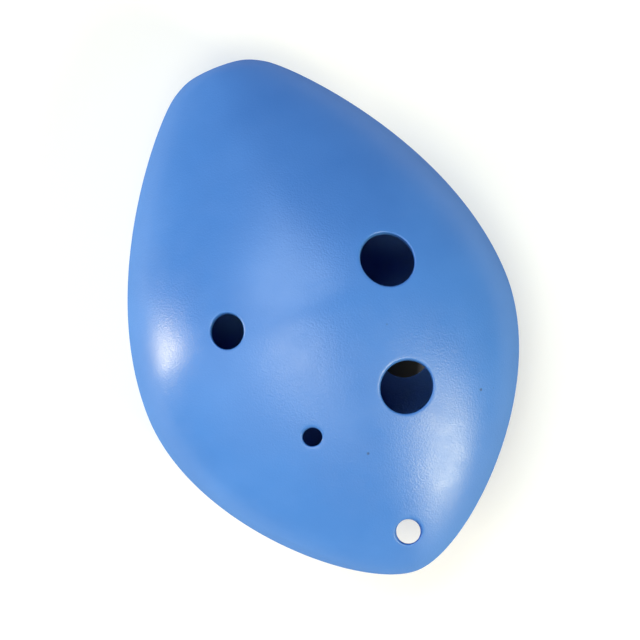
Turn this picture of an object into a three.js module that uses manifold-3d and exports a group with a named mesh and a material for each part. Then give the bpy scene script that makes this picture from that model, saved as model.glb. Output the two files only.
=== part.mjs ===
// A six-hole pendant ocarina moulded in plastic: a front shell and a back shell welded along one flat
// parting plane, a windway block trapped between them in the beak, and a sound-edge insert in the back.
// Millimetres. +X is right seen from the front, +Y points to the mouthpiece, +Z points out of the front,
// and z = 0 is the flat on the belly that the ocarina rests on.
import * as THREE from "three";
import { mergeVertices } from "three/addons/utils/BufferGeometryUtils.js";
import Module from "manifold-3d";

const wasm = await Module();
wasm.setup();

// Body
const LENGTH = 104;
const HALF_WIDTH = 36.8;
const FRONT_HEIGHT = 21.8;
const BACK_HEIGHT = 18.4;
const PARTING_Z = 18;
const WALL = 2.5;
const FRONT_CROWN = { roundness: 1.7, softness: 0.3 };
const BEAK_CROWN = { roundness: 1.55, softness: 0.1 };
const BACK_CROWN = { roundness: 2.2, softness: 0 };
const SKIN_FACETS = { around: 56, along: 36 };
const CAVITY_FACETS = { around: 44, along: 28 };

// Lap joint between the shells
const LIP_THICKNESS = 1.2;
const LIP_HEIGHT = 1.5;
const LIP_CLEARANCE = 0.25;

// Holes: the centre, and the radius across the slope. Down the slope they are a little narrower.
const FINGER_HOLES = [
  { x: 16.1, y: 2.75, radius: 5.2 },
  { x: 10.7, y: -20, radius: 5.05 },
  { x: -15.9, y: 1.5, radius: 3.35 },
  { x: -8.75, y: -22, radius: 1.85 },
];
const THUMB_HOLES = [
  { x: 14, y: -11.5, radius: 5.5 },
  { x: -14, y: -11.5, radius: 4.5 },
];
const HOLE_SQUEEZE = 0.93;
const LANYARD = { x: 1.1, y: -44.6, boreRadius: 2.5, bossRadius: 5 };
const HOLE_FACETS = 24;

// Windway: a flat slot that slopes back from the beak's tip to the window
const WINDWAY_WIDTH = 12;
const WINDWAY_HEIGHT = 1.5;
const WINDWAY_TIP_DROP = 2.4;
const WINDWAY_SLOPE = 1 / 3;
const WINDOW_LENGTH = 6.5;
const WINDOW_MOUTH_Y = 28;
const RAIL_WIDTH = 3.2;
const BLOCK_THICKNESS = 2.2;
const BLOCK_CLEARANCE = 0.3;
const BULKHEAD_THICKNESS = 2.4;
const PEG = { radius: 0.9, length: 1.4, y: 40 };
const SEAT_GAP = 0.1;

// Sound edge
const RAMP_LENGTH = 10.5;
const INSERT_SHOULDER = 2;
const FLANGE_WIDTH = 17;
const FLANGE_THICKNESS = 1.2;
const FLANGE_SETBACK = 1.5;
const INSERT_GAP = 0.15;

// Edges shorter than this are closed up when a piece is finished
const SHORTEST_EDGE = 0.01;

const TIP_Y = LENGTH / 2;
const FAR = LENGTH;
const EDGE_Y = WINDOW_MOUTH_Y - WINDOW_LENGTH;

// A profile is a chain of cubic curves from the beak's tip to the tail. A point's x is its reach from
// the axis and its y is its place along the ocarina.
function profile(...curves) {
  return curves.map((points) => new THREE.CubicBezierCurve(
    ...points.map(([reach, y]) => new THREE.Vector2(reach, y))));
}

const SIDE_PROFILE = profile(
  [[0, TIP_Y], [4.7, TIP_Y], [6.2, 51.8], [9.6, 49.6]],
  [[9.6, 49.6], [14.2, 46.6], [HALF_WIDTH, 21.3], [HALF_WIDTH, -5.9]],
  [[HALF_WIDTH, -5.9], [HALF_WIDTH, -28.7], [11.1, -TIP_Y], [0, -TIP_Y]],
);
const FRONT_PROFILE = profile(
  [[0, TIP_Y], [3.2, TIP_Y], [4.3, 50.6], [5.4, 48.6]],
  [[5.4, 48.6], [12.5, 35.7], [FRONT_HEIGHT, 15], [FRONT_HEIGHT, 0]],
  [[FRONT_HEIGHT, 0], [FRONT_HEIGHT, -10], [6.5, -TIP_Y], [0, -TIP_Y]],
);
const BACK_PROFILE = profile(
  [[0, TIP_Y], [3.4, TIP_Y], [4.6, 50.4], [5.1, 48.6]],
  [[5.1, 48.6], [10.4, 29.2], [BACK_HEIGHT, 20], [BACK_HEIGHT, -1]],
  [[BACK_HEIGHT, -1], [BACK_HEIGHT, -19], [6, -TIP_Y], [0, -TIP_Y]],
);

// How far a profile reaches at y, found by halving the stretch of curve that y lies on.
function reachAt(curves, y) {
  const curve = curves.find((part) => y >= part.v3.y) ?? curves.at(-1);
  let low = 0;
  let high = 1;
  for (let halving = 0; halving < 40; halving++) {
    const middle = (low + high) / 2;
    if (curve.getPoint(middle).y > y) low = middle;
    else high = middle;
  }
  return curve.getPoint(low).x;
}

// How the front's crown changes from the round belly to the soft ridge on the beak.
function frontCrown(y) {
  const share = THREE.MathUtils.smoothstep(y, 0, WINDOW_MOUTH_Y);
  return {
    roundness: THREE.MathUtils.lerp(FRONT_CROWN.roundness, BEAK_CROWN.roundness, share),
    softness: THREE.MathUtils.lerp(FRONT_CROWN.softness, BEAK_CROWN.softness, share),
  };
}

// The share of the full height left at `across`, which runs from 0 on the axis to 1 at the side.
function crownShare({ roundness, softness }, across) {
  const fall = (share) => (share ** 2 + softness ** 2) ** (roundness / 2);
  return Math.sqrt(Math.max(0, (fall(1) - fall(across)) / (fall(1) - fall(0))));
}

// The skin's height over the parting plane, on the front (side 1) or the back (side -1).
function skinHeight(side, across, y) {
  return side > 0
    ? reachAt(FRONT_PROFILE, y) * crownShare(frontCrown(y), across)
    : -reachAt(BACK_PROFILE, y) * crownShare(BACK_CROWN, across);
}

function skinZ(side, x, y) {
  return PARTING_Z + skinHeight(side, Math.abs(x) / reachAt(SIDE_PROFILE, y), y);
}

// A closed mesh with only shared positions, as manifold-3d wants it.
function bare(geometry) {
  geometry.deleteAttribute("normal");
  geometry.deleteAttribute("uv");
  return mergeVertices(geometry);
}

function solid(geometry) {
  const shared = bare(geometry);
  return new wasm.Manifold(new wasm.Mesh({
    numProp: 3,
    vertProperties: new Float32Array(shared.attributes.position.array),
    triVerts: new Uint32Array(shared.index.array),
  }));
}

// The whole body, solid, with its surface `inset` under the skin: a sphere with its poles at the beak
// and the tail, drawn out to the three profiles.
function bodySolid({ around, along }, inset) {
  const skin = bare(new THREE.SphereGeometry(1, around, along));
  const points = skin.attributes.position;
  for (let i = 0; i < points.count; i++) {
    const y = points.getY(i) * TIP_Y;
    const ring = Math.hypot(points.getX(i), points.getZ(i)) || 1;
    const across = points.getX(i) / ring;
    const side = Math.sign(points.getZ(i)) || 1;
    const z = PARTING_Z + skinHeight(side, Math.min(1, Math.abs(across)), y);
    points.setXYZ(i, across * reachAt(SIDE_PROFILE, y), y, z);
  }
  skin.computeVertexNormals();
  const normals = skin.attributes.normal;
  for (let i = 0; i < points.count; i++) {
    points.setXYZ(i,
      points.getX(i) - inset * normals.getX(i),
      points.getY(i) - inset * normals.getY(i),
      points.getZ(i) - inset * normals.getZ(i));
  }
  return solid(skin);
}

// A slab across the whole body between two heights.
function layer(lowZ, highZ) {
  return solid(new THREE.BoxGeometry(FAR, 2 * FAR, highZ - lowZ).translate(0, 0, (lowZ + highZ) / 2));
}

function post(radius, x, y, lowZ, highZ) {
  const cylinder = new THREE.CylinderGeometry(radius, radius, highZ - lowZ, HOLE_FACETS);
  return solid(cylinder.rotateX(Math.PI / 2).translate(x, y, (lowZ + highZ) / 2));
}

// A prism across the axis, `width` wide, from its outline as [y, z] points.
function crossPrism(width, outline) {
  const shape = new THREE.Shape(outline.map(([y, z]) => new THREE.Vector2(y, z)));
  const prism = new THREE.ExtrudeGeometry(shape, { depth: width, bevelEnabled: false });
  const stand = new THREE.Matrix4().makeBasis(
    new THREE.Vector3(0, 1, 0), new THREE.Vector3(0, 0, 1), new THREE.Vector3(1, 0, 0));
  return solid(prism.translate(0, 0, -width / 2).applyMatrix4(stand));
}

// A hole drawn straight along Z, as the mould draws it, and squeezed down the slope of the skin.
function drawnHole({ x, y, radius }, side) {
  const step = 0.5;
  const slope = new THREE.Vector2(
    (skinZ(side, x + step, y) - skinZ(side, x - step, y)) / (2 * step),
    (skinZ(side, x, y + step) - skinZ(side, x, y - step)) / (2 * step));
  const mouth = new THREE.CylinderGeometry(radius, radius, BACK_HEIGHT, HOLE_FACETS);
  mouth.rotateX(Math.PI / 2).scale(HOLE_SQUEEZE, 1, 1).rotateZ(slope.angle());
  return solid(mouth.translate(x, y, skinZ(side, x, y)));
}

// The height of the windway's outer face at y, and of lines a given lift inwards from it.
function windwayZ(y, lift = 0) {
  return PARTING_Z - WINDWAY_TIP_DROP - (TIP_Y - y) * WINDWAY_SLOPE + lift;
}

function windwayBand(width, fromY, toY, lowLift, highLift) {
  return crossPrism(width, [
    [fromY, windwayZ(fromY, lowLift)],
    [toY, windwayZ(toY, lowLift)],
    [toY, windwayZ(toY, highLift)],
    [fromY, windwayZ(fromY, highLift)],
  ]);
}

const RAILS_WIDTH = WINDWAY_WIDTH + 2 * RAIL_WIDTH;
const LAP_OPEN_WIDTH = RAILS_WIDTH + 2 * LIP_CLEARANCE;
const SKIN = bodySolid(SKIN_FACETS, 0);
const LIP_SKIN = bodySolid(SKIN_FACETS, WALL - LIP_THICKNESS);
const REBATE_SKIN = bodySolid(SKIN_FACETS, WALL - LIP_THICKNESS - LIP_CLEARANCE);
const CAVITY = bodySolid(CAVITY_FACETS, WALL);
const BLOCK_SPACE = bodySolid(CAVITY_FACETS, WALL + BLOCK_CLEARANCE);
const WINDWAY = windwayBand(WINDWAY_WIDTH, EDGE_Y, FAR, 0, WINDWAY_HEIGHT);

// Half of the tube that carries the lanyard through the tail, clear of the chamber.
function lanyardBoss(lowZ, highZ) {
  return post(LANYARD.bossRadius, LANYARD.x, LANYARD.y, lowZ, highZ).intersect(SKIN);
}

// The layer in which the shells lap. It takes in the whole parting plane, apart from a stretch of the
// beak `openWidth` wide, which the windway passes through.
function lapLayer(lowZ, highZ, openWidth) {
  const beak = crossPrism(openWidth, [
    [WINDOW_MOUTH_Y, -FAR], [FAR, -FAR], [FAR, FAR], [WINDOW_MOUTH_Y, FAR],
  ]);
  return layer(lowZ, highZ).subtract(beak);
}

function lanyardBore() {
  return post(LANYARD.boreRadius, LANYARD.x, LANYARD.y, -FAR, FAR);
}

// The dome with the four finger holes, and the lip that laps inside the back shell.
function frontShell() {
  const lip = lapLayer(PARTING_Z - LIP_HEIGHT, PARTING_Z + LIP_THICKNESS, LAP_OPEN_WIDTH);
  let shell = SKIN.intersect(layer(PARTING_Z, FAR));
  shell = shell.add(LIP_SKIN.intersect(lip));
  shell = shell.subtract(CAVITY);
  shell = shell.add(lanyardBoss(PARTING_Z, FAR));
  shell = shell.subtract(lanyardBore());
  return FINGER_HOLES.reduce((rest, hole) => rest.subtract(drawnHole(hole, 1)), shell);
}

// The bed that stands on the back shell's inner wall in the beak, up to the block's seat.
function windwayBed() {
  return windwayBand(RAILS_WIDTH, WINDOW_MOUTH_Y, TIP_Y, -FAR, WINDWAY_HEIGHT)
    .intersect(SKIN)
    .intersect(layer(0, PARTING_Z));
}

function pegPost(side, radius, length) {
  const x = side * (WINDWAY_WIDTH + RAIL_WIDTH) / 2;
  const seat = windwayZ(PEG.y, WINDWAY_HEIGHT);
  return post(radius, x, PEG.y, seat - length, seat + BLOCK_THICKNESS / 2);
}

// The opening that the air sheet crosses, cut from the windway straight out through the skin.
function window() {
  return crossPrism(WINDWAY_WIDTH, [
    [EDGE_Y - RAMP_LENGTH, -FAR],
    [WINDOW_MOUTH_Y, -FAR],
    [WINDOW_MOUTH_Y, windwayZ(WINDOW_MOUTH_Y, WALL + WINDWAY_HEIGHT)],
    [EDGE_Y - RAMP_LENGTH, windwayZ(EDGE_Y - RAMP_LENGTH, WALL + WINDWAY_HEIGHT)],
  ]);
}

const INSERT_END_Y = EDGE_Y - RAMP_LENGTH - INSERT_SHOULDER;
const INSERT_FACE_SLOPE = (skinZ(-1, 0, EDGE_Y) - skinZ(-1, 0, INSERT_END_Y)) / (EDGE_Y - INSERT_END_Y);

// The insert's inner face: a plane from the sound edge down along the inside of the wall.
function insertFaceZ(y) {
  return windwayZ(EDGE_Y, WINDWAY_HEIGHT / 2) - (EDGE_Y - y) * INSERT_FACE_SLOPE;
}

// The flange that bears on the inside of the back shell, or its seat when grown by the gap.
function insertFlange(gap) {
  const fromY = INSERT_END_Y - FLANGE_SETBACK - gap;
  const toY = EDGE_Y - FLANGE_SETBACK + gap;
  return crossPrism(FLANGE_WIDTH + 2 * gap, [
    [fromY, insertFaceZ(fromY) - FLANGE_THICKNESS - gap],
    [toY, insertFaceZ(toY) - FLANGE_THICKNESS - gap],
    [toY, insertFaceZ(toY) + WALL * Math.sign(gap)],
    [fromY, insertFaceZ(fromY) + WALL * Math.sign(gap)],
  ]);
}

// The half with the thumb holes, the window and the flat it rests on.
function backShell() {
  const rebate = lapLayer(PARTING_Z - LIP_HEIGHT - LIP_CLEARANCE, FAR, RAILS_WIDTH);
  let shell = SKIN.intersect(layer(0, PARTING_Z));
  shell = shell.subtract(CAVITY);
  shell = shell.add(lanyardBoss(0, PARTING_Z));
  shell = shell.subtract(REBATE_SKIN.intersect(rebate).subtract(BLOCK_SPACE));
  shell = shell.add(windwayBed());
  shell = shell.subtract(lanyardBore());
  shell = shell.subtract(WINDWAY);
  shell = shell.subtract(window());
  shell = shell.subtract(crossPrism(WINDWAY_WIDTH, [
    [INSERT_END_Y, -FAR], [EDGE_Y, -FAR], [EDGE_Y, PARTING_Z], [INSERT_END_Y, PARTING_Z],
  ]));
  shell = shell.subtract(insertFlange(INSERT_GAP));
  for (const side of [-1, 1]) {
    shell = shell.subtract(pegPost(side, PEG.radius + INSERT_GAP, PEG.length + INSERT_GAP));
  }
  return THUMB_HOLES.reduce((rest, hole) => rest.subtract(drawnHole(hole, -1)), shell);
}

// The plate that closes the windway from inside, and the bulkhead that ends the chamber.
function windwayBlock() {
  const lift = WINDWAY_HEIGHT + SEAT_GAP;
  const plate = windwayBand(RAILS_WIDTH, WINDOW_MOUTH_Y, TIP_Y, lift, lift + BLOCK_THICKNESS);
  const bulkhead = crossPrism(2 * HALF_WIDTH, [
    [WINDOW_MOUTH_Y, 0],
    [WINDOW_MOUTH_Y + BULKHEAD_THICKNESS, 0],
    [WINDOW_MOUTH_Y + BULKHEAD_THICKNESS, FAR],
    [WINDOW_MOUTH_Y, FAR],
  ]);
  const bedSpace = windwayBand(RAILS_WIDTH + 2 * BLOCK_CLEARANCE, 0, TIP_Y, -FAR, lift);
  const pegs = [-1, 1].map((side) => pegPost(side, PEG.radius, PEG.length));
  const block = plate.add(bulkhead).intersect(BLOCK_SPACE).subtract(bedSpace);
  return pegs.reduce((joined, peg) => joined.add(peg), block);
}

// The wedge whose thin end splits the air sheet, with the ramp that faces out of the back.
function soundEdge() {
  const rampFootY = EDGE_Y - RAMP_LENGTH;
  const wedge = crossPrism(WINDWAY_WIDTH - 2 * INSERT_GAP, [
    [EDGE_Y, insertFaceZ(EDGE_Y)],
    [rampFootY, skinZ(-1, 0, rampFootY)],
    [rampFootY, 0],
    [INSERT_END_Y + INSERT_GAP, 0],
    [INSERT_END_Y + INSERT_GAP, insertFaceZ(INSERT_END_Y + INSERT_GAP)],
  ]);
  return wedge.intersect(SKIN).add(insertFlange(0));
}

function piece(name, made, colour, roughness) {
  const { vertProperties, triVerts } = made.simplify(SHORTEST_EDGE).getMesh();
  const geometry = new THREE.BufferGeometry();
  geometry.setAttribute("position", new THREE.BufferAttribute(vertProperties, 3));
  geometry.setIndex(new THREE.BufferAttribute(triVerts, 1));
  geometry.computeVertexNormals();
  const material = new THREE.MeshStandardMaterial({ color: colour, roughness, metalness: 0 });
  const mesh = new THREE.Mesh(geometry, material);
  mesh.name = name;
  return mesh;
}

const SATIN_BLUE = 0x4f8fdc;
const SHELL_ROUGHNESS = 0.42;
const INSERT_ROUGHNESS = 0.5;

const ocarina = new THREE.Group();
ocarina.add(
  piece("front_shell", frontShell(), SATIN_BLUE, SHELL_ROUGHNESS),
  piece("back_shell", backShell(), SATIN_BLUE, SHELL_ROUGHNESS),
  piece("windway_block", windwayBlock(), SATIN_BLUE, INSERT_ROUGHNESS),
  piece("sound_edge_insert", soundEdge(), SATIN_BLUE, INSERT_ROUGHNESS),
);

export default ocarina;
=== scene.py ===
import math

import bmesh
import bpy
from mathutils import Matrix, Vector
from mathutils.geometry import interpolate_bezier


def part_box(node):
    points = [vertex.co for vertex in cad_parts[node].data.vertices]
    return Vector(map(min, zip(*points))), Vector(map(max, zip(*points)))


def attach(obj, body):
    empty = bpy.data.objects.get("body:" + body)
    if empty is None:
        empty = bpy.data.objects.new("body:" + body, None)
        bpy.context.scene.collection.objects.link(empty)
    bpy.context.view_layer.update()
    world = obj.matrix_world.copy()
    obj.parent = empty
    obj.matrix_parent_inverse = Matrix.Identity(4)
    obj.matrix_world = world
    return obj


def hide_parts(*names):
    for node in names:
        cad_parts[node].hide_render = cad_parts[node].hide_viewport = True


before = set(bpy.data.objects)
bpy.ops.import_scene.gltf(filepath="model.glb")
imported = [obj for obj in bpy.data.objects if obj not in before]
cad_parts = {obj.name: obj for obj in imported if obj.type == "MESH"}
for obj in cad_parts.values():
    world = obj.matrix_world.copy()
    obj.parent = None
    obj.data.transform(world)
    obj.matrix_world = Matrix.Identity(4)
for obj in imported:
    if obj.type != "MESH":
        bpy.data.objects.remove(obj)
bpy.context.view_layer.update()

MM = 0.001

# Camera. It looks down on the front of the ocarina, a little from the tail's side, with the beak
# leaning to the upper left of the picture.
camera_data = bpy.data.cameras.new("camera")
camera = bpy.data.objects.new("camera", camera_data)
bpy.context.scene.collection.objects.link(camera)
bpy.context.scene.camera = camera
camera_distance = 400 * MM
camera_tilt = math.radians(6.0)
camera_roll = math.radians(22.0)
camera_aim = Vector((0.57, -1.03, 18.0)) * MM
field_width = 122.4 * MM
camera_data.sensor_width = 36.0
camera_data.lens = camera_data.sensor_width * camera_distance / field_width
camera_turn = Matrix.Rotation(camera_tilt, 4, "X") @ Matrix.Rotation(-camera_roll, 4, "Z")
camera.matrix_world = (
    Matrix.Translation(camera_aim) @ camera_turn @ Matrix.Translation((0, 0, camera_distance))
)

# Front shell: the domed half with the four finger holes, injection-moulded in blue ABS. Its outline,
# its dome and its crown are smooth curves, and every hole is drawn straight along the mould's pull
# with a small round-over where it meets the skin.
shell_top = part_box("front_shell")[1]
shell_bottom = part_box("back_shell")[0]
tip = shell_top.y
half_width = shell_top.x
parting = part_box("back_shell")[1].z
front_height = shell_top.z - parting
rest_flat = shell_bottom.z
belly_cut = 0.4 * MM
back_height = parting - rest_flat + belly_cut
wall = 2.5 * MM
beak_start_y = 28 * MM
belly_roundness, belly_softness = 1.7, 0.3
beak_roundness, beak_softness = 1.55, 0.1
back_roundness, back_softness = 2.2, 0.0


def profile(*curves):
    """Cubic curves from the beak's tip to the tail, each point a reach from the axis and a y."""
    steps = 160
    points = []
    for knots in curves:
        handles = [Vector((reach, y, 0)) for reach, y in knots]
        points += interpolate_bezier(*handles, steps)[1 if points else 0:]
    return points


side_profile = profile(
    [(0, tip), (4.7 * MM, tip), (6.2 * MM, 51.8 * MM), (9.6 * MM, 49.6 * MM)],
    [(9.6 * MM, 49.6 * MM), (14.2 * MM, 46.6 * MM), (half_width, 21.3 * MM), (half_width, -5.9 * MM)],
    [(half_width, -5.9 * MM), (half_width, -28.7 * MM), (11.1 * MM, -tip), (0, -tip)],
)
front_profile = profile(
    [(0, tip), (3.2 * MM, tip), (4.3 * MM, 50.6 * MM), (5.4 * MM, 48.6 * MM)],
    [(5.4 * MM, 48.6 * MM), (12.5 * MM, 35.7 * MM), (front_height, 15 * MM), (front_height, 0)],
    [(front_height, 0), (front_height, -10 * MM), (6.5 * MM, -tip), (0, -tip)],
)
back_profile = profile(
    [(0, tip), (3.4 * MM, tip), (4.6 * MM, 50.4 * MM), (5.1 * MM, 48.6 * MM)],
    [(5.1 * MM, 48.6 * MM), (10.4 * MM, 29.2 * MM), (back_height, 20 * MM), (back_height, -1 * MM)],
    [(back_height, -1 * MM), (back_height, -19 * MM), (6 * MM, -tip), (0, -tip)],
)


def reach_at(points, y):
    """How far a profile reaches at y, between the two of its points that y lies between."""
    low, high = 0, len(points) - 1
    while high - low > 1:
        middle = (low + high) // 2
        if points[middle].y > y:
            low = middle
        else:
            high = middle
    span = points[low].y - points[high].y
    share = min(1.0, max(0.0, (points[low].y - y) / span)) if span else 0.0
    return points[low].x + (points[high].x - points[low].x) * share


def crown_share(roundness, softness, across):
    """The share of the full height left at `across`, from 0 on the axis to 1 at the side."""
    def fall(share):
        return (share * share + softness * softness) ** (roundness / 2)
    return math.sqrt(max(0.0, (fall(1) - fall(across)) / (fall(1) - fall(0))))


def skin_height(side, across, y):
    """The skin over the parting plane: the front (side 1) turns from a round belly to a soft ridge."""
    if side < 0:
        return -reach_at(back_profile, y) * crown_share(back_roundness, back_softness, across)
    beak = min(1.0, max(0.0, y / beak_start_y))
    beak = beak * beak * (3 - 2 * beak)
    roundness = belly_roundness + (beak_roundness - belly_roundness) * beak
    softness = belly_softness + (beak_softness - belly_softness) * beak
    return reach_at(front_profile, y) * crown_share(roundness, softness, across)


def skin_z(side, x, y):
    """The height of the skin above the table at a point of the outline's plan."""
    width = max(reach_at(side_profile, y), 1e-9)
    return parting + skin_height(side, min(1.0, abs(x) / width), y)


def drawn_hole(side, x, y, radius, depth):
    """A hole drawn straight along the mould's pull, and a little narrower down the slope of the skin."""
    step = 0.5 * MM
    squeeze = 0.93
    mouth_round = 0.4 * MM
    slope = Vector((
        skin_z(side, x + step, y) - skin_z(side, x - step, y),
        skin_z(side, x, y + step) - skin_z(side, x, y - step),
    ))
    turned = Matrix.Translation((x, y, 0)) @ Matrix.Rotation(math.atan2(slope.y, slope.x), 4, "Z")
    size = Vector((squeeze * radius, radius))
    return {"place": turned, "size": size, "core": Vector((0, 0)), "round": mouth_round, "depth": depth}


def ring_of(bm, opening):
    """A flat ring of loose edges: an ellipse, or a rounded rectangle where the opening has a core."""
    side_cuts = 24
    for v in bmesh.ops.create_circle(bm, segments=96, radius=1.0)["verts"]:
        x = v.co.x * opening["size"].x + math.copysign(opening["core"].x, v.co.x)
        y = v.co.y * opening["size"].y + math.copysign(opening["core"].y, v.co.y)
        v.co = opening["place"] @ Vector((x, y, 0))
    sides = [e for e in bm.edges if e.is_wire and e.calc_length() > 1 * MM]
    bmesh.ops.subdivide_edges(bm, edges=sides, cuts=side_cuts)
    return [e for e in bm.edges if e.is_wire]


def wall_offset(opening, point):
    """From the nearest point of an opening's core to `point`, in the opening's own turned frame."""
    local = opening["place"].inverted() @ point
    core = opening["core"]
    nearest = Vector((max(-core.x, min(core.x, local.x)), max(-core.y, min(core.y, local.y)), 0))
    return Vector((local.x, local.y, 0)) - nearest


def sink_mouth(bm, opening):
    """Cuts an opening in the flat, unlifted skin: a well with a round-over, ringed by a band of skin.
    Until the skin is lifted, a vertex's z holds how far it lies below the skin."""
    apron = 1.6 * MM
    inner_apron = 0.35
    round_steps = 5
    reach = opening["size"].y + apron
    inside = [f for f in bm.faces if wall_offset(opening, f.calc_center_median()).length < reach]
    edges = dict.fromkeys(e for f in inside for e in f.edges)
    bmesh.ops.delete(bm, geom=inside, context="FACES")
    torn = [e for e in edges if e.is_valid and e.is_boundary]
    rim = ring_of(bm, opening)
    outward = {}
    for v in dict.fromkeys(v for e in rim for v in e.verts):
        outward[v] = (opening["place"].to_3x3() @ wall_offset(opening, v.co)).normalized()
    bmesh.ops.edgeloop_fill(bm, edges=rim)
    for v in outward:
        v.co.z = opening["depth"]
    round_over = opening["round"]
    steps = [(0.0, round_over)]
    for k in range(1, round_steps + 1):
        angle = math.radians(90) * k / round_steps
        steps.append((round_over * (1 - math.cos(angle)), round_over * (1 - math.sin(angle))))
    steps.append((round_over + inner_apron * (apron - round_over), 0.0))
    spread_before = 0.0
    for spread, drop in steps:
        made = bmesh.ops.extrude_edge_only(bm, edges=rim)["geom"]
        fresh = {}
        for v in [g for g in made if isinstance(g, bmesh.types.BMVert)]:
            old = next(e.other_vert(v) for e in v.link_edges if e.other_vert(v) in outward)
            fresh[v] = outward[old]
            v.co += outward[old] * (spread - spread_before)
            v.co.z = drop
        outward = fresh
        rim = [g for g in made if isinstance(g, bmesh.types.BMEdge) and g.is_boundary]
        spread_before = spread
    bmesh.ops.triangle_fill(bm, use_beauty=True, use_dissolve=False, edges=torn + rim, normal=(0, 0, 1))


def body_half(side, openings):
    """Half of the body as one closed solid: the skin with its wells, and the flat parting face."""
    bm = bmesh.new()
    bmesh.ops.create_uvsphere(
        bm, u_segments=240, v_segments=176, radius=1.0, matrix=Matrix.Rotation(math.radians(90), 4, "X"))
    everything = bm.verts[:] + bm.edges[:] + bm.faces[:]
    bmesh.ops.bisect_plane(
        bm, geom=everything, dist=1e-5, plane_co=(0, 0, 0), plane_no=(0, 0, side), clear_inner=True)
    edge_of_skin = {v for v in bm.verts if v.is_boundary}
    for v in bm.verts:
        y = v.co.y * tip
        ring = math.hypot(v.co.x, v.co.z) or 1.0
        across = math.copysign(1.0, v.co.x) if v in edge_of_skin else v.co.x / ring
        v.co = (across * reach_at(side_profile, y), y, 0)
    for opening in openings:
        sink_mouth(bm, opening)
    for v in bm.verts:
        v.co.z = skin_z(side, v.co.x, v.co.y) - side * v.co.z
    seam = 0.15 * MM
    slant = 0.7
    skirt = [e for e in bm.edges if e.is_boundary]
    for v in dict.fromkeys(v for e in skirt for v in e.verts):
        v.co.z = parting + side * seam
    made = bmesh.ops.extrude_edge_only(bm, edges=skirt)["geom"]
    for v in [g for g in made if isinstance(g, bmesh.types.BMVert)]:
        inward = -Vector((v.co.x / half_width, v.co.y / tip * slant, 0)).normalized()
        v.co += inward * seam
        v.co.z = parting
    bmesh.ops.holes_fill(bm, edges=[e for e in bm.edges if e.is_boundary], sides=0)
    bmesh.ops.recalc_face_normals(bm, faces=bm.faces[:])
    if bm.calc_volume(signed=True) < 0:
        bmesh.ops.reverse_faces(bm, faces=bm.faces[:])
    return bm


def chamber_form(inset):
    """The body's form `inset` under the skin, closed: what the moulding cores leave hollow."""
    bm = bmesh.new()
    bmesh.ops.create_uvsphere(
        bm, u_segments=120, v_segments=88, radius=1.0, matrix=Matrix.Rotation(math.radians(90), 4, "X"))
    for v in bm.verts:
        y = v.co.y * tip
        ring = math.hypot(v.co.x, v.co.z) or 1.0
        across = v.co.x / ring
        height = skin_height(1 if v.co.z >= 0 else -1, min(1.0, abs(across)), y)
        v.co = (across * reach_at(side_profile, y), y, parting + height)
    bmesh.ops.recalc_face_normals(bm, faces=bm.faces[:])
    bm.normal_update()
    moves = [(v, v.normal * inset) for v in bm.verts]
    for v, move in moves:
        v.co -= move
    return bm


def post(x, y, radius, low, high):
    """A round bar along Z, closed at both ends."""
    bm = bmesh.new()
    bmesh.ops.create_cone(
        bm, cap_ends=True, segments=96, radius1=radius, radius2=radius, depth=high - low,
        matrix=Matrix.Translation((x, y, (low + high) / 2)))
    return bm


def piece_of(bm, name):
    """A new object at the origin from a bmesh, which is freed."""
    mesh = bpy.data.meshes.new(name)
    bm.to_mesh(mesh)
    bm.free()
    made = bpy.data.objects.new(name, mesh)
    bpy.context.scene.collection.objects.link(made)
    return made


def machine(piece, tool, operation):
    """Joins a tool's shape to a piece or cuts it away, and clears the tool off the bench."""
    joint = piece.modifiers.new(operation.lower(), "BOOLEAN")
    joint.operation = operation
    joint.solver = "MANIFOLD"
    joint.object = tool
    bpy.context.view_layer.update()
    evaluated = piece.evaluated_get(bpy.context.evaluated_depsgraph_get())
    worked = bpy.data.meshes.new_from_object(evaluated)
    worked.materials.clear()
    piece.modifiers.clear()
    piece.data = worked
    worked.name = piece.name
    bpy.data.objects.remove(tool)


def smooth_over(piece, angle):
    """Shades a piece smooth, with a crisp line wherever two faces meet at more than `angle` degrees."""
    for face in piece.data.polygons:
        face.use_smooth = True
    piece.data.set_sharp_from_angle(angle=math.radians(angle))


def noise(tree, place, scale, detail):
    """Noise with a grain of about 1 / `scale` metres, read at `place`."""
    node = tree.nodes.new("ShaderNodeTexNoise")
    node.inputs["Scale"].default_value = scale
    node.inputs["Detail"].default_value = detail
    tree.links.new(place, node.inputs["Vector"])
    return node.outputs["Fac"]


def remapped(tree, value, before, after):
    """A value carried from the range `before` to the range `after`, and held inside it."""
    node = tree.nodes.new("ShaderNodeMapRange")
    node.inputs["From Min"].default_value = before[0]
    node.inputs["From Max"].default_value = before[1]
    node.inputs["To Min"].default_value = after[0]
    node.inputs["To Max"].default_value = after[1]
    tree.links.new(value, node.inputs["Value"])
    return node.outputs["Result"]


def summed(tree, first, second):
    """Two values added."""
    node = tree.nodes.new("ShaderNodeMath")
    node.operation = "ADD"
    tree.links.new(first, node.inputs[0])
    tree.links.new(second, node.inputs[1])
    return node.outputs["Value"]


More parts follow.
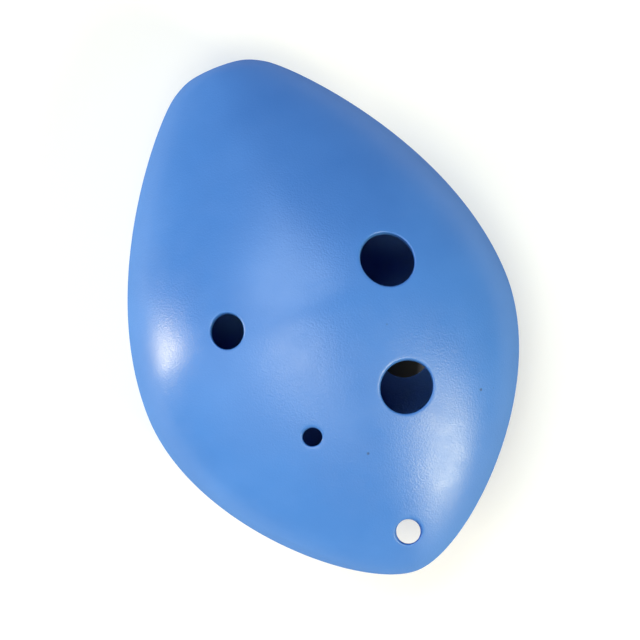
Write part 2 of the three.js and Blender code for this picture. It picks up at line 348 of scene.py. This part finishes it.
def flow_colour(tree, place):
    """Two near blues in soft clouds, as the plastic flowed in the mould, under a few specks of dust."""
    tone = tree.nodes.new("ShaderNodeValToRGB")
    tone.color_ramp.elements[0].position = 0.3
    tone.color_ramp.elements[0].color = (0.060, 0.212, 0.66, 1)
    tone.color_ramp.elements[1].position = 0.7
    tone.color_ramp.elements[1].color = (0.070, 0.236, 0.71, 1)
    tree.links.new(noise(tree, place, scale=70, detail=4), tone.inputs["Fac"])
    dust = tree.nodes.new("ShaderNodeTexVoronoi")
    dust.inputs["Scale"].default_value = 110
    tree.links.new(place, dust.inputs["Vector"])
    dusted = tree.nodes.new("ShaderNodeMix")
    dusted.data_type = "RGBA"
    dusted.inputs["B"].default_value = (0.02, 0.03, 0.06, 1)
    speck = remapped(tree, dust.outputs["Distance"], before=(0.018, 0.04), after=(0.6, 0.0))
    tree.links.new(speck, dusted.inputs["Factor"])
    tree.links.new(tone.outputs["Color"], dusted.inputs["A"])
    return dusted.outputs["Result"]


def scratches(tree, place):
    """Sparse hair scratches, long and fine, which all run the way that the body is wiped."""
    brushed = tree.nodes.new("ShaderNodeMapping")
    brushed.inputs["Rotation"].default_value = (0, 0, math.radians(35))
    brushed.inputs["Scale"].default_value = (30, 1400, 300)
    tree.links.new(place, brushed.inputs["Vector"])
    hair = noise(tree, brushed.outputs["Vector"], scale=1, detail=1)
    return remapped(tree, hair, before=(0.72, 0.78), after=(0.0, 0.12))


def matt_band(tree, place):
    """The band beside the parting plane that is matt since the seam was dressed."""
    height = tree.nodes.new("ShaderNodeSeparateXYZ")
    tree.links.new(place, height.inputs["Vector"])
    above_seam = tree.nodes.new("ShaderNodeMath")
    above_seam.operation = "SUBTRACT"
    above_seam.inputs[1].default_value = parting
    tree.links.new(height.outputs["Z"], above_seam.inputs[0])
    from_seam = tree.nodes.new("ShaderNodeMath")
    from_seam.operation = "ABSOLUTE"
    tree.links.new(above_seam.outputs["Value"], from_seam.inputs[0])
    return remapped(tree, from_seam.outputs["Value"], before=(1 * MM, 8 * MM), after=(0.2, 0.0))


def moulded_blue(name, gloss):
    """Blue ABS: an even colour under a thin shine, with the satin and the grain of an etched mould.
    `gloss` is its mean roughness, which worn and polished spots leave by up to `wear` either way."""
    wear = 0.04
    material = bpy.data.materials.new(name)
    material.use_nodes = True
    tree = material.node_tree
    place = tree.nodes.new("ShaderNodeTexCoord").outputs["Object"]
    worn = noise(tree, place, scale=240, detail=5)
    satin = remapped(tree, worn, before=(0.3, 0.7), after=(gloss - wear, gloss + wear))
    dressed = summed(tree, satin, matt_band(tree, place))
    roughness = summed(tree, dressed, scratches(tree, place))
    grain = tree.nodes.new("ShaderNodeBump")
    grain.inputs["Strength"].default_value = 0.8
    grain.inputs["Distance"].default_value = 0.045 * MM
    tree.links.new(noise(tree, place, scale=3000, detail=2), grain.inputs["Height"])

    body = tree.nodes["Principled BSDF"]
    body.inputs["Specular IOR Level"].default_value = 0.0
    tree.links.new(flow_colour(tree, place), body.inputs["Base Color"])
    tree.links.new(roughness, body.inputs["Roughness"])
    tree.links.new(grain.outputs["Normal"], body.inputs["Normal"])
    shine = tree.nodes.new("ShaderNodeBsdfAnisotropic")
    shine.inputs["Color"].default_value = (1, 1, 1, 1)
    tree.links.new(roughness, shine.inputs["Roughness"])
    tree.links.new(grain.outputs["Normal"], shine.inputs["Normal"])
    surface = tree.nodes.new("ShaderNodeMixShader")
    surface.inputs["Fac"].default_value = 0.055
    tree.links.new(body.outputs["BSDF"], surface.inputs[1])
    tree.links.new(shine.outputs["BSDF"], surface.inputs[2])
    tree.links.new(surface.outputs["Shader"], tree.nodes["Material Output"].inputs["Surface"])
    return material


def hollowed(half):
    """Hollows a half to its wall, leaving the tube that carries the lanyard, and bores the tube."""
    core = piece_of(chamber_form(wall), "chamber_core")
    tube = post(lanyard_x, lanyard_y, tube_radius, rest_flat, shell_top.z)
    machine(core, piece_of(tube, "tube"), "DIFFERENCE")
    machine(half, core, "DIFFERENCE")
    bore = post(lanyard_x, lanyard_y, bore_radius, rest_flat - wall, shell_top.z)
    machine(half, piece_of(bore, "bore"), "DIFFERENCE")


hole_depth = 2.4 * wall
finger_holes = [
    drawn_hole(1, 16.1 * MM, 2.75 * MM, 5.2 * MM, hole_depth),
    drawn_hole(1, 10.7 * MM, -20 * MM, 5.05 * MM, hole_depth),
    drawn_hole(1, -15.9 * MM, 1.5 * MM, 3.35 * MM, hole_depth),
    drawn_hole(1, -8.75 * MM, -22 * MM, 1.85 * MM, hole_depth),
]
lanyard_x = 1.1 * MM
lanyard_y = -44.6 * MM
lanyard_radius = 2.5 * MM
bore_radius = 0.925 * lanyard_radius
tube_radius = 5 * MM
lanyard_depth = 0.5 * wall
lanyard_mouth = drawn_hole(1, lanyard_x, lanyard_y, lanyard_radius, lanyard_depth)
crease = 40
shell_plastic = moulded_blue("moulded_blue_satin", 0.33)
front_shell = piece_of(body_half(1, finger_holes + [lanyard_mouth]), "domed_front_shell")
hollowed(front_shell)
smooth_over(front_shell, crease)
front_shell.data.materials.append(shell_plastic)
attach(front_shell, "root")
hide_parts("front_shell")

# Back shell: the other half, with the thumb holes and the sound window, moulded in the same plastic
# and welded to the front along the flat parting plane. The windway is a flat slot that slopes from
# the beak's tip to the window, on a bed inside the beak. A flat on the belly lets the ocarina lie still.
window_y = 28 * MM
window_length = 6.5 * MM
ramp_length = 10.5 * MM
toe_length = 2 * MM
edge_y = window_y - window_length
ramp_foot_y = edge_y - ramp_length
insert_end_y = ramp_foot_y - toe_length
windway_width = 12 * MM
windway_height = 1.5 * MM
windway_below_parting = 2.4 * MM
windway_run = 3
fit = 0.15 * MM
overlap = 0.02 * MM


def windway_z(y, lift=0.0):
    """The windway's outer face at y, or a line `lift` inwards from it. It falls 1 in `windway_run`."""
    return parting - windway_below_parting - (tip - y) / windway_run + lift


def cross_prism(width, outline):
    """A prism across the axis from its outline, given as (y, z) points."""
    bm = bmesh.new()
    face = bm.faces.new([bm.verts.new((-width / 2, y, z)) for y, z in outline])
    made = bmesh.ops.extrude_face_region(bm, geom=[face])["geom"]
    moved = [g for g in made if isinstance(g, bmesh.types.BMVert)]
    bmesh.ops.translate(bm, vec=(width, 0, 0), verts=moved)
    bmesh.ops.recalc_face_normals(bm, faces=bm.faces[:])
    return bm


def windway_bed():
    """The floor of the windway, which fills the beak's inside up to the seat of the windway block."""
    side_walls = 6.4 * MM
    sunk = 0.6 * MM
    bed = piece_of(cross_prism(windway_width + side_walls, [
        (window_y + overlap, rest_flat),
        (tip, rest_flat),
        (tip, windway_z(tip, windway_height)),
        (window_y + overlap, windway_z(window_y, windway_height)),
    ]), "windway_bed")
    machine(bed, piece_of(chamber_form(sunk), "beak_inside"), "INTERSECT")
    return bed


def windway_slot():
    """The windway's air space: a slot with rounded corners that flares a little at the beak's tip."""
    corner = 0.35 * MM
    bm = bmesh.new()
    section = {
        "place": Matrix.Rotation(math.radians(90), 4, "X"),
        "size": Vector((corner, corner)),
        "core": Vector((windway_width / 2 - corner, windway_height / 2 - corner)),
    }
    rim = ring_of(bm, section)
    bmesh.ops.edgeloop_fill(bm, edges=rim)
    flare_start = tip - 0.75 * MM
    flare = 0.5 * MM
    flare_steps = 5
    steps = [(edge_y, 0.0), (flare_start, 0.0)]
    for k in range(1, flare_steps + 1):
        angle = math.radians(90) * k / flare_steps
        steps.append((flare_start + flare * math.sin(angle), flare * (1 - math.cos(angle))))
    steps.append((tip + wall, flare))
    outward = {v: wall_offset(section, v.co) / corner for e in rim for v in e.verts}
    flat = {v: v.co.copy() for v in outward}
    for v in outward:
        v.co = flat[v] + Vector((0, edge_y, windway_z(edge_y, windway_height / 2)))
    for y, spread in steps[1:]:
        made = bmesh.ops.extrude_edge_only(bm, edges=rim)["geom"]
        fresh_outward = {}
        fresh_flat = {}
        for v in [g for g in made if isinstance(g, bmesh.types.BMVert)]:
            old = next(e.other_vert(v) for e in v.link_edges if e.other_vert(v) in outward)
            fresh_outward[v] = outward[old]
            fresh_flat[v] = flat[old]
            local = outward[old] * spread
            v.co = flat[old] + Vector((local.x, y, local.y + windway_z(y, windway_height / 2)))
        outward, flat = fresh_outward, fresh_flat
        rim = [g for g in made if isinstance(g, bmesh.types.BMEdge) and g.is_boundary]
    bmesh.ops.edgeloop_fill(bm, edges=rim)
    bmesh.ops.recalc_face_normals(bm, faces=bm.faces[:])
    return bm


insert_face_slope = (skin_z(-1, 0, edge_y) - skin_z(-1, 0, insert_end_y)) / (edge_y - insert_end_y)


def insert_face_z(y):
    """The sound-edge insert's inner face: a plane from the edge down along the inside of the wall."""
    return windway_z(edge_y, windway_height / 2) - (edge_y - y) * insert_face_slope


def insert_flange(gap):
    """The flange that bears on the inside of the back shell, or its seat when grown by the gap."""
    margin = 1.5 * MM
    thickness = 1.2 * MM
    width = 17 * MM
    low_y = insert_end_y - margin - gap
    high_y = edge_y - margin + gap
    rise = wall if gap else 0.0
    return cross_prism(width + 2 * gap, [
        (low_y, insert_face_z(low_y) - thickness - gap),
        (high_y, insert_face_z(high_y) - thickness - gap),
        (high_y, insert_face_z(high_y) + rise),
        (low_y, insert_face_z(low_y) + rise),
    ])


window_corner = 0.5 * MM
window_mouth = {
    "place": Matrix.Translation((0, (insert_end_y + window_y) / 2, 0)),
    "size": Vector((window_corner, window_corner)),
    "core": Vector((windway_width / 2 - window_corner, (window_y - insert_end_y) / 2 - window_corner)),
    "round": 0.3 * MM,
    "depth": hole_depth,
}
back_openings = [
    drawn_hole(-1, 14 * MM, -11.5 * MM, 5.5 * MM, hole_depth),
    drawn_hole(-1, -14 * MM, -11.5 * MM, 4.5 * MM, hole_depth),
    drawn_hole(-1, lanyard_x, lanyard_y, lanyard_radius, lanyard_depth),
    window_mouth,
]
back_shell = piece_of(body_half(-1, back_openings), "back_shell_half")
hollowed(back_shell)
machine(back_shell, windway_bed(), "UNION")
machine(back_shell, piece_of(windway_slot(), "slot"), "DIFFERENCE")
machine(back_shell, piece_of(insert_flange(fit), "seat"), "DIFFERENCE")
under_flat = cross_prism(4 * half_width, [
    (-tip, rest_flat - wall), (tip, rest_flat - wall), (tip, rest_flat), (-tip, rest_flat)])
machine(back_shell, piece_of(under_flat, "table"), "DIFFERENCE")
smooth_over(back_shell, crease)
on_table = rest_flat + 0.001 * MM
for face in back_shell.data.polygons:
    face.use_smooth = face.center.z > on_table
back_shell.data.materials.append(shell_plastic)
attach(back_shell, "root")
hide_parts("back_shell")

# Sound-edge insert: the wedge whose thin end splits the air sheet, with the ramp that faces out of
# the back. It is pressed in from inside the back shell, where its flange bears on the wall.
rim_thickness = 0.1 * MM
wedge = cross_prism(windway_width - 2 * fit, [
    (edge_y, insert_face_z(edge_y)),
    (edge_y, insert_face_z(edge_y) - rim_thickness),
    (ramp_foot_y, skin_z(-1, 0, ramp_foot_y)),
    (ramp_foot_y, rest_flat - wall),
    (insert_end_y + fit, rest_flat - wall),
    (insert_end_y + fit, insert_face_z(insert_end_y + fit)),
])
sound_edge = piece_of(wedge, "sound_edge")
machine(sound_edge, piece_of(chamber_form(0.0), "skin"), "INTERSECT")
machine(sound_edge, piece_of(insert_flange(0.0), "flange"), "UNION")
insert_plastic = moulded_blue("moulded_blue_insert", 0.45)
sound_edge.data.materials.append(insert_plastic)
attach(sound_edge, "root")
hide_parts("sound_edge_insert")

# Windway block: the plate that closes the windway from inside, with the bulkhead that ends the
# chamber. It is glued into the back shell before the halves close, so none of it shows outside.
windway_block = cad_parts["windway_block"]
windway_block.data.materials.clear()
windway_block.data.materials.append(insert_plastic)

# Floor: a pale table top. It glows evenly, as a lit table does, apart from a painted shadow where the
# ocarina lies: a patch with the shape of the body's outline made smaller, painted near black and given
# no glow.
bm = bmesh.new()
bmesh.ops.create_grid(bm, x_segments=1, y_segments=1, size=3.0)
floor = piece_of(bm, "floor")
floor_paint = bpy.data.materials.new("floor_paint")
floor_paint.use_nodes = True
tree = floor_paint.node_tree
paint = tree.nodes["Principled BSDF"]
paint.inputs["Roughness"].default_value = 0.8
paint.inputs["Emission Color"].default_value = (1, 1, 1, 1)
to_outline = tree.nodes.new("ShaderNodeVectorMath")
to_outline.operation = "MULTIPLY"
to_outline.inputs[1].default_value = (1 / half_width, 1 / tip, 0)
tree.links.new(tree.nodes.new("ShaderNodeTexCoord").outputs["Object"], to_outline.inputs[0])
from_middle = tree.nodes.new("ShaderNodeVectorMath")
from_middle.operation = "LENGTH"
tree.links.new(to_outline.outputs["Vector"], from_middle.inputs[0])
# Painted shadow: inside this edge, measured against the outline, the floor's glow falls to nothing.
painted_shadow_edge = (0.5, 0.8)
glow_and_painted_shadow = remapped(tree, from_middle.outputs["Value"], before=painted_shadow_edge, after=(0.0, 0.25))
tree.links.new(glow_and_painted_shadow, paint.inputs["Emission Strength"])
# Painted shadow: the floor's colour falls to near black in the patch under the ocarina.
tone = remapped(tree, from_middle.outputs["Value"], before=painted_shadow_edge, after=(0.02, 0.8))
tree.links.new(tone, paint.inputs["Base Color"])
floor.data.materials.append(floor_paint)

# Lights: a small window low on the left, a panel at the lower right, a soft key over the left
# shoulder, and two panels overhead, beyond the beak and the tail, in a dim room.
world = bpy.data.worlds.new("room")
bpy.context.scene.world = world
world.use_nodes = True
room_light = world.node_tree.nodes["Background"]
room_light.inputs["Color"].default_value = (0.9, 0.95, 1.0, 1)
room_light.inputs["Strength"].default_value = 0.12
bpy.context.scene.view_settings.view_transform = "Standard"


def panel_light(name, toward, distance, width, height, power, colour):
    """An area light `distance` from the ocarina in the direction `toward`, facing it."""
    data = bpy.data.lights.new(name, "AREA")
    data.shape = "RECTANGLE"
    data.size = width
    data.size_y = height
    data.energy = power
    data.color = colour
    light = bpy.data.objects.new(name, data)
    bpy.context.scene.collection.objects.link(light)
    direction = Vector(toward).normalized()
    turn = direction.to_track_quat("Z", "Y").to_matrix().to_4x4()
    light.matrix_world = Matrix.Translation(Vector((0, 0, parting)) + direction * distance) @ turn


panel_light("window_left", (-0.93, 0.27, 0.21), 0.6, 0.1, 0.15, 2.3, (1, 0.84, 0.5))
panel_light("panel_lower_right", (0.46, -0.72, 0.5), 0.8, 0.27, 0.3, 4.1, (1, 0.91, 0.58))
panel_light("key_left", (-0.6, -0.15, 0.75), 0.9, 0.6, 0.6, 1.3, (0.9, 0.95, 1))
panel_light("panel_tail", (-0.22, -0.34, 0.91), 1.0, 0.4, 0.35, 2.6, (1, 0.96, 0.78))
panel_light("panel_beak", (-0.1, 0.37, 0.92), 1.0, 0.7, 0.6, 4.6, (0.8, 0.92, 1))
